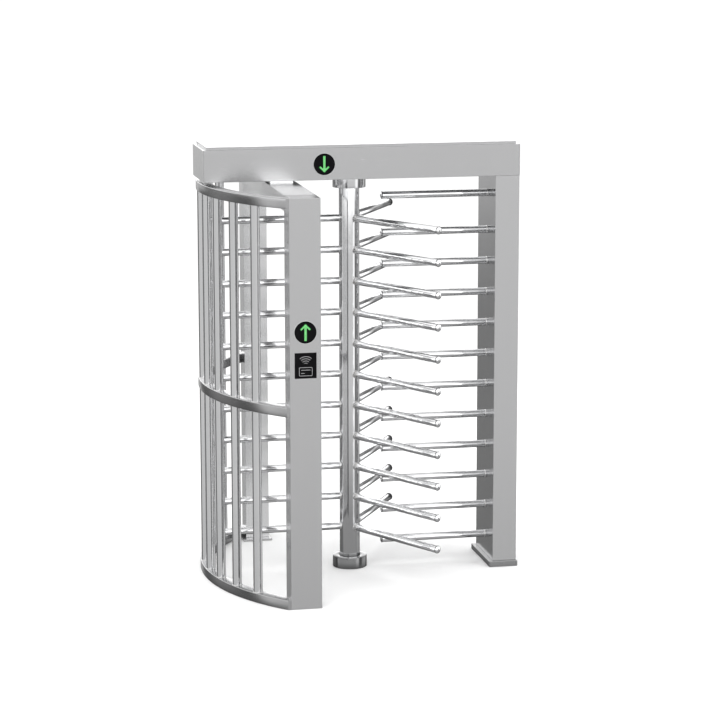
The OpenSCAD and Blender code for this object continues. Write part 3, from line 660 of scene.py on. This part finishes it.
def capped_tube(start, end):
    """A tube from start to end with a pressed-in domed cap: (radius, height) points."""
    seam = end - CAP_H
    dome = CAP_H - CAP_RIM
    sphere = (BAR_R ** 2 + dome ** 2) / (2 * dome)
    widest = math.asin(BAR_R / sphere)
    points = [(BAR_R - TUBE_EDGE, start), (BAR_R, start + TUBE_EDGE), (BAR_R, seam - GROOVE_REACH),
              (BAR_R - GROOVE, seam - GROOVE_HALF), (BAR_R - GROOVE, seam + GROOVE_HALF),
              (BAR_R, seam + GROOVE_REACH), (BAR_R, seam + CAP_RIM - CAP_EDGE)]
    for k in range(DOME_STEPS + 1):
        a = widest * (DOME_SHARE - DOME_SHARE * k / DOME_STEPS)
        points.append((sphere * math.sin(a), end - sphere + sphere * math.cos(a)))
    points[-1] = (0, end)
    return points


def cap_seam(matrix, height):
    """The sealing line where a cap meets its tube."""
    seat = matrix @ Matrix.Translation((0, 0, height))
    return as_mesh(bead(circle(BAR_R - GROOVE_HALF, seat, 40), SEAM_R, 0.0))


def rotor_wings():
    """Eleven arms in each wing, and the saddle-shaped bead round the root of each arm."""
    root = math.sqrt(COLUMN_R ** 2 - BAR_R ** 2) + 0.0002
    raised = Matrix.Translation((0, 0, ARM_Z0))
    wings = {"wing_a_arms": 180, "wing_b_arms": -60, "wing_c_arms": 60}
    weld_r = BAR_R + 0.0006
    saddle = [Vector((math.sqrt(COLUMN_R ** 2 - (weld_r * math.sin(t)) ** 2), weld_r * math.sin(t),
                      weld_r * math.cos(t))) for t in (math.tau * k / 60 for k in range(60))]
    welds, seams = [], []
    for count, (node, angle) in enumerate(wings.items()):
        turn = Matrix.Rotation(math.radians(angle), 4, "Z")
        arm = as_mesh(turned(capped_tube(root, REACH), 40, raised @ turn @ ALONG_X))
        mesh = row(arm, POLISHED_PAINTED_BRIGHT, ARMS, (0, 0, ARM_PITCH))
        replaced = (node, "arm_caps") if count == 0 else (node,)
        piece(node[:6] + "_tubes", mesh, POLISHED_PAINTED_BRIGHT, "rotor", replaced, 50)
        one = as_mesh(bead([raised @ turn @ p for p in saddle], ARM_BEAD))
        welds.append(row(one, WELD, ARMS, (0, 0, ARM_PITCH)))
        seam = cap_seam(raised @ turn @ ALONG_X, REACH - CAP_H)
        seams.append(row(seam, SEAM, ARMS, (0, 0, ARM_PITCH)))
    piece("arm_welds", joined(welds), WELD, "rotor", (), 60)
    piece("arm_cap_seams", joined(seams), SEAM, "rotor", (), 60)


def comb():
    """Twelve bars reaching from the wall post, welded to its face."""
    face = Matrix.Translation((POST_FACE_X, 0, COMB_Z0)) @ Matrix.Rotation(-math.pi / 2, 4, "Y")
    length = POST_FACE_X - COMB_TIP
    bar = as_mesh(turned(capped_tube(0.0, length), 40, face))
    weld = as_mesh(bead(circle(BAR_R + BEAD_LIFT, face), COMB_BEAD))
    seam = cap_seam(face, length - CAP_H)
    lift = Matrix.Translation((0, 0, COMB_TOP_Z - COMB_Z0))

    def whole(mesh, material):
        """A bar's part at each arm's pitch, and once more at the top bar."""
        top = mesh.copy()
        top.transform(lift)
        return joined([row(mesh, material, ARMS, (0, 0, ARM_PITCH)), top])

    piece("comb_cap_seams", whole(seam, SEAM), SEAM, "frame", (), 60)
    piece("comb_tubes", whole(bar, POLISHED_PAINTED_BRIGHT), POLISHED_PAINTED_BRIGHT, "frame",
          ("comb_bars", "comb_caps"), 50)
    piece("comb_welds", whole(weld, WELD), WELD, "frame", (), 60)


def cage():
    """Sixteen bars between three bands, with a bead at both ends of each bar."""
    first = math.pi - CAGE_STEP * (CAGE_BARS - 1) / 2
    centre = (CAGE_CX, 0, 0)
    place = Matrix.Translation(centre) @ Matrix.Rotation(first, 4, "Z")
    place = place @ Matrix.Translation((BAR_RING_R, 0, 0))
    bars, welds = [], []
    for bottom, top in ((BAND_H, MID_Z), (MID_Z + BAND_H, TOP_BAND_Z)):
        bar = as_mesh(turned([(CAGE_BAR_R, bottom), (CAGE_BAR_R, top)], 48, place))
        bars.append(row(bar, POLISHED_PAINTED_BRIGHT, CAGE_BARS, turn=CAGE_STEP, pivot=centre))
        for height in (bottom, top):
            seat = place @ Matrix.Translation((0, 0, height))
            ring = as_mesh(bead(circle(CAGE_BAR_R + BEAD_LIFT, seat), ARM_BEAD))
            welds.append(row(ring, WELD, CAGE_BARS, turn=CAGE_STEP, pivot=centre))
    piece("cage_tubes", joined(bars), UPRIGHT, "frame", ("cage_bars",), 50)
    piece("cage_welds", joined(welds), WELD, "frame", (), 60)


def band_tree():
    """A rounded box section swept along an arc about the cage's centre."""
    tree = bpy.data.node_groups.new("curved_band", "GeometryNodeTree")
    face = tree.interface
    face.new_socket("Geometry", in_out="INPUT", socket_type="NodeSocketGeometry")
    for name in ("Radius", "Start", "Sweep", "Depth", "Height", "Corner"):
        face.new_socket(name, in_out="INPUT", socket_type="NodeSocketFloat")
    face.new_socket("Centre", in_out="INPUT", socket_type="NodeSocketVector")
    face.new_socket("Finish", in_out="INPUT", socket_type="NodeSocketMaterial")
    face.new_socket("Geometry", in_out="OUTPUT", socket_type="NodeSocketGeometry")
    nodes, links = tree.nodes, tree.links
    given = nodes.new("NodeGroupInput")
    arc = nodes.new("GeometryNodeCurveArc")
    arc.inputs["Resolution"].default_value = 121
    section = nodes.new("GeometryNodeCurvePrimitiveQuadrilateral")
    fillet = nodes.new("GeometryNodeFilletCurve")
    fillet.mode = "POLY"
    fillet.inputs["Count"].default_value = 4
    sweep = nodes.new("GeometryNodeCurveToMesh")
    sweep.inputs["Fill Caps"].default_value = True
    move = nodes.new("GeometryNodeTransform")
    real = nodes.new("GeometryNodeRealizeInstances")
    finish = nodes.new("GeometryNodeSetMaterial")
    out = nodes.new("NodeGroupOutput")
    links.new(given.outputs["Radius"], arc.inputs["Radius"])
    links.new(given.outputs["Start"], arc.inputs["Start Angle"])
    links.new(given.outputs["Sweep"], arc.inputs["Sweep Angle"])
    links.new(given.outputs["Depth"], section.inputs["Width"])
    links.new(given.outputs["Height"], section.inputs["Height"])
    links.new(section.outputs[0], fillet.inputs["Curve"])
    links.new(given.outputs["Corner"], fillet.inputs["Radius"])
    links.new(arc.outputs[0], sweep.inputs["Curve"])
    links.new(fillet.outputs[0], sweep.inputs["Profile Curve"])
    links.new(sweep.outputs[0], move.inputs["Geometry"])
    links.new(given.outputs["Centre"], move.inputs["Translation"])
    links.new(move.outputs[0], real.inputs[0])
    links.new(real.outputs[0], finish.inputs["Geometry"])
    links.new(given.outputs["Finish"], finish.inputs["Material"])
    links.new(finish.outputs[0], out.inputs[0])
    return tree


ARC_SPARE = 0.02
BAND_CORNER = 3 * MM


def band(node, tree):
    """One band, trimmed flush with the side posts' outer faces and butted on their sides."""
    half = math.asin(min(1.0, -FRONT_Y / (CAGE_R - BAND_T))) + ARC_SPARE
    obj = bpy.data.objects.new("band", bpy.data.meshes.new("band"))
    bpy.context.scene.collection.objects.link(obj)
    maker = obj.modifiers.new("band", "NODES")
    maker.node_group = tree
    given = {"Radius": BAR_RING_R, "Start": math.pi - half, "Sweep": 2 * half, "Depth": BAND_T,
             "Height": BAND_H, "Corner": BAND_CORNER,
             "Centre": (CAGE_CX, 0, low(node).z + BAND_H / 2),
             "Finish": BAND_STEEL}
    for item in tree.interface.items_tree:
        if item.in_out == "INPUT" and item.name in given:
            maker[item.identifier] = given[item.name]
    bpy.context.view_layer.update()
    mesh = bpy.data.meshes.new_from_object(obj.evaluated_get(bpy.context.evaluated_depsgraph_get()))
    obj.modifiers.clear()
    bpy.data.objects.remove(obj)
    bm = bmesh.new()
    bm.from_mesh(mesh)
    bmesh.ops.remove_doubles(bm, verts=bm.verts, dist=1e-6)
    cuts = [((SIDE_FACE_X, 0, 0), (1, 0, 0)), ((0, FRONT_Y, 0), (0, -1, 0)),
            ((0, -FRONT_Y, 0), (0, 1, 0))]
    for point, normal in cuts:
        everything = bm.verts[:] + bm.edges[:] + bm.faces[:]
        bmesh.ops.bisect_plane(bm, geom=everything, plane_co=point, plane_no=normal, clear_outer=True)
        bmesh.ops.holes_fill(bm, edges=[e for e in bm.edges if e.is_boundary], sides=0)
    bmesh.ops.recalc_face_normals(bm, faces=bm.faces)
    piece(node + "_sweep", bm, BAND_STEEL, "frame", (node,), 30)


# ---------------------------------------------------------------- column, pedestal, collar

def rounded(corners, radius, steps=3):
    """A closed lathe profile with each corner rounded."""
    points = []
    for k, corner in enumerate(corners):
        here, before = Vector(corner), Vector(corners[k - 1])
        after = Vector(corners[(k + 1) % len(corners)])
        a = here + (before - here).normalized() * radius
        b = here + (after - here).normalized() * radius
        for s in range(steps + 1):
            t = s / steps
            points.append(tuple((1 - t) ** 2 * a + 2 * t * (1 - t) * here + t ** 2 * b))
    return points + [points[0]]


COLUMN_WALL = 4 * MM
COLLAR_GAP = 2 * MM
COLLAR_WALL = 3 * MM
COLLAR_EDGE = 0.9 * MM
PEDESTAL_GAP = 3 * MM
PEDESTAL_BASE = 12 * MM
PEDESTAL_EDGE = 1.2 * MM
PIVOT_HOLE_R = 17 * MM
FLOOR_GAP = 0.4 * MM


def column_parts():
    bottom, top = low("rotor_column").z, high("rotor_column").z
    inner = COLUMN_R - COLUMN_WALL
    profile = rounded([(inner, bottom), (COLUMN_R, bottom), (COLUMN_R, top), (inner, top)],
                      TUBE_EDGE)
    piece("column_tube", turned(profile, 96), UPRIGHT, "rotor", ("rotor_column",), 40)

    outer = high("top_collar").x
    foot, head = low("top_collar").z, high("top_collar").z
    lip = COLUMN_R + COLLAR_GAP
    inner = outer - COLLAR_WALL
    shelf = foot + COLLAR_WALL
    profile = rounded([(outer, head), (outer, foot), (lip, foot), (lip, shelf), (inner, shelf),
                       (inner, head)], COLLAR_EDGE)
    piece("collar_shell", turned(profile, 96), UPRIGHT, "frame", ("top_collar",), 40)

    outer, head = high("floor_bearing_housing").x, high("floor_bearing_housing").z
    bore = COLUMN_R + PEDESTAL_GAP
    profile = rounded([(bore, PEDESTAL_BASE), (bore, head), (outer, head), (outer, FLOOR_GAP),
                       (PIVOT_HOLE_R, FLOOR_GAP), (PIVOT_HOLE_R, PEDESTAL_BASE)], PEDESTAL_EDGE)
    # painted shade: the pedestal in the darkened copy of polished steel
    piece("pedestal_shell", turned(profile, 96), PEDESTAL_PAINTED_SHADE, "frame",
          ("floor_bearing_housing",), 40)


# ---------------------------------------------------------------- lights and reader

def facing_out(place, half_turn=False):
    """A light's own plane: X to the right and Y up as seen from in front, Z out towards the viewer."""
    spin = Matrix.Rotation(math.pi if half_turn else 0, 4, "Z")
    return Matrix.Translation(place) @ TOWARDS_VIEWER @ spin


def inside(point, outline):
    """Whether a point lies inside a closed outline."""
    hit = False
    for (x0, y0), (x1, y1) in zip(outline, outline[1:] + outline[:1]):
        if (y0 > point[1]) != (y1 > point[1]) and point[0] < (x1 - x0) * (point[1] - y0) / (y1 - y0) + x0:
            hit = not hit
    return hit


ARROW = [(-0.0058, -0.043), (0.0058, -0.043), (0.0058, 0.025), (0.0215, 0.010), (0.0275, 0.016),
         (0.0, 0.043), (-0.0275, 0.016), (-0.0215, 0.010), (-0.0058, 0.025)]
RIM_H = 3 * MM
RIM_T = 1.4 * MM
LENS_CROWN = 0.2 * MM
SHEET_Z = 3.1 * MM
SHEET_T = 0.7 * MM
DOT_Z = 3.7 * MM
DOT_PITCH = 3.4 * MM
DOT_ROW = 0.92         # height of a row of dots, as a share of the pitch
DOT_MARGIN = (1.08, 1.03)
DOT = [(0.00125, 0), (0.0011, 0.0005), (0.0006, 0.0009), (0, 0.0010)]


def direction_light(place, points_down):
    plane = facing_out(place, points_down)
    inner = LIGHT_R - RIM_T
    rim = rounded([(LIGHT_R, 0), (LIGHT_R, RIM_H), (inner, RIM_H), (inner, 0)], 0.0005)
    lens = [(LIGHT_R - 0.0015, 0.0), (LIGHT_R - 0.0015, 0.0022), (LIGHT_R - 0.0020, 0.0027)]
    lens += [(LIGHT_R * (1 - k / 6), RIM_H + LENS_CROWN * math.sin(k / 6 * math.pi / 2))
             for k in range(1, 6)]
    lens += [(0, RIM_H + LENS_CROWN)]
    sheet = bmesh.new()
    back, front = ([sheet.verts.new((x, y, z)) for x, y in ARROW]
                   for z in (SHEET_Z, SHEET_Z + SHEET_T))
    sheet.faces.new(back)
    sheet.faces.new(front)
    for k in range(len(ARROW)):
        sheet.faces.new((back[k - 1], back[k], front[k], front[k - 1]))
    bmesh.ops.recalc_face_normals(sheet, faces=sheet.faces)
    sheet.transform(plane)
    dots = bmesh.new()
    for j in range(-13, 14):
        for i in range(-8, 9):
            x, y = (i + 0.5 * (j % 2)) * DOT_PITCH, j * DOT_PITCH * DOT_ROW
            if inside((x * DOT_MARGIN[0], y * DOT_MARGIN[1]), ARROW):
                seat = plane @ Matrix.Translation((x, y, DOT_Z))
                dots.from_mesh(as_mesh(turned(DOT, 8, seat)))
    return turned(rim, 96, plane), turned(lens, 96, plane), sheet, dots


def direction_lights():
    pair = (direction_light(BEAM_LIGHT, True), direction_light(POST_LIGHT, False))
    rims, lenses, sheets, dots = (joined([as_mesh(part) for part in kind]) for kind in zip(*pair))
    piece("light_rims", rims, RIM, "frame", ("light_bezels",))
    piece("light_glasses", lenses, GLASS, "frame", ("light_lenses",))
    piece("light_arrow_sheets", sheets, GREEN, "frame", ("light_arrows",))
    piece("light_dots", dots, GREEN_DOT, "frame", ())


def wire(points, radius, closed=False, sides=6):
    """A thin raised line through points."""
    bm = bmesh.new()
    count = len(points)
    rings = []
    for k, point in enumerate(points):
        before = points[k - 1] if closed or k else points[0]
        after = points[(k + 1) % count] if closed or k < count - 1 else points[-1]
        ahead = (after - before).normalized()
        side = ahead.cross(Vector((0, 1, 0))).normalized()
        rings.append([bm.verts.new(point + radius * (math.cos(a) * side + math.sin(a) * Vector((0, 1, 0))))
                      for a in (math.tau * s / sides for s in range(sides))])
    for k in range(count if closed else count - 1):
        a, b = rings[k], rings[(k + 1) % count]
        for s in range(sides):
            bm.faces.new((a[s], a[(s + 1) % sides], b[(s + 1) % sides], b[s]))
    if not closed:
        bm.faces.new(rings[0])
        bm.faces.new(rings[-1])
    bmesh.ops.recalc_face_normals(bm, faces=bm.faces)
    return bm


LINE_R = 0.9 * MM
CARD_HALF = (33 * MM, 21 * MM)
CARD_CORNER = 5 * MM
CARD_Z = -30 * MM
WAVES = (12 * MM, 23 * MM, 34 * MM, 45 * MM)
WAVE_Z = 2 * MM
MARK_PROUD = 0.1 * MM


def reader_mark():
    """A plain card under four waves."""
    centre = middle("card_reader")
    centre.y = low("card_reader").y - MARK_PROUD
    lines = []

    def at(x, z):
        return centre + Vector((x, 0, z))

    w, h = (half - CARD_CORNER for half in CARD_HALF)
    outline = []
    for cx, cz, start in ((w, h, 0), (-w, h, 90), (-w, -h, 180), (w, -h, 270)):
        for k in range(6):
            a = math.radians(start + 18 * k)
            outline.append(at(cx + CARD_CORNER * math.cos(a),
                              cz + CARD_CORNER * math.sin(a) + CARD_Z))
    lines.append(wire(outline, LINE_R, closed=True))
    for radius in WAVES:
        arc = [at(radius * math.cos(a), WAVE_Z + radius * math.sin(a))
               for a in (math.radians(48 + 84 * k / 16) for k in range(17))]
        lines.append(wire(arc, LINE_R))
    lines.append(wire([at(-0.024, -0.022), at(0.024, -0.022)], LINE_R))
    lines.append(wire([at(-0.024, -0.038), at(-0.006, -0.038)], LINE_R))
    piece("reader_mark_lines", joined([as_mesh(m) for m in lines]), MARK, "frame", ())


# ---------------------------------------------------------------- covers' screws

# Half a screw's outline, from the socket's floor round the button head to its seat
SCREW = [(0, 0.0005), (0.0011, 0.0005), (0.0011, 0.0011), (0.0018, 0.0016), (0.0024, 0.0013),
         (0.0029, 0.0007), (0.0030, 0.0), (0.0, 0.0)]
COVER_T = 2 * MM
COVER_Z = {"wall_post": 140 * MM, "front_post": 130 * MM, "rear_post": 130 * MM}
SCREW_X = 40 * MM
SCREW_Z = 75 * MM


def cover_screws():
    """Button-head socket screws at the corners of each access cover."""
    bm = bmesh.new()
    for post, z in COVER_Z.items():
        cover = Vector((middle(post).x, high(post).y + COVER_T, z))
        for sx in (-SCREW_X, SCREW_X):
            for sz in (-SCREW_Z, SCREW_Z):
                seat = Matrix.Translation(cover + Vector((sx, 0, sz)))
                seat = seat @ Matrix.Rotation(-math.pi / 2, 4, "X")
                bm.from_mesh(as_mesh(turned(SCREW, 12, seat)))
    piece("cover_screw_heads", bm, MACHINED, "frame", ("cover_screws",), 30)


# ---------------------------------------------------------------- carried-over CAD nodes

def paint(material, *nodes):
    for node in nodes:
        mesh_slots = frame["nodes"][node].material_slots
        if not mesh_slots:
            frame["nodes"][node].data.materials.append(material)
        for entry in mesh_slots:
            entry.material = material


add_camera()
add_world()
add_floor()
for light in LIGHTS:
    add_light(*light)
bpy.context.scene.view_settings.view_transform = "Standard"

for node in ("beam_housing", "beam_lid", "lid_hinge_leaves"):
    softened(node, 0.0012, STEEL_X)
softened("beam_end_caps", 0.0008, END_STEEL)
# painted light: the cross arm in the lightened copy of the steel
softened("cross_arm", 0.0015, STEEL_PAINTED_LIGHT)
for node in ("wall_post", "front_post"):
    softened(node, 0.0015, STEEL_Z)
# painted light: the rear post in the lightened copy of the steel
softened("rear_post", 0.0015, STEEL_PAINTED_LIGHT)
# painted shade: the wall post's base plate in the darkened copy of the steel
softened("wall_post_base_plate", 0.0020, STEEL_PAINTED_SHADE)
softened("rear_foot_plate", 0.0020, STEEL_Y)
softened("card_reader", 0.0012, GLASS)
softened("access_covers", 0.0006, STEEL_Z)
rotor_wings()
comb()
cage()
BAND_TREE = band_tree()
for node in ("cage_top_band", "cage_middle_band", "cage_bottom_band"):
    band(node, BAND_TREE)
column_parts()
direction_lights()
reader_mark()
cover_screws()

paint(STEEL_X, "side_post_caps")
# painted light: the beam hinge leaves in the brightened copy of polished steel
paint(POLISHED_PAINTED_BRIGHT, "beam_hinge_leaves")
paint(MACHINED, "hinge_pins", "wall_post_head_plate", "front_foot_plate", "column_end_plugs",
      "rotor_shaft", "bearing_housing", "shaft_collars", "pawl_pins", "entry_pawl", "exit_pawl",
      "entry_plunger", "exit_plunger")
paint(ZINC, "mechanism_plate", "power_supply", "mechanism_bolts", "beam_bolts")
# painted light: the mount blocks in the lightened copy of the steel
paint(STEEL_PAINTED_LIGHT, "beam_mount_blocks")
paint(BEARING, "thrust_bearing", "top_bearing")
paint(GEAR, "lock_wheel", "rotor_gear", "damper_pinion")
paint(BLACK, "sensor_vane", "position_sensors", "light_housings", "counter_module", "damper_body")
paint(COIL, "solenoids")
paint(BOARD, "control_board")
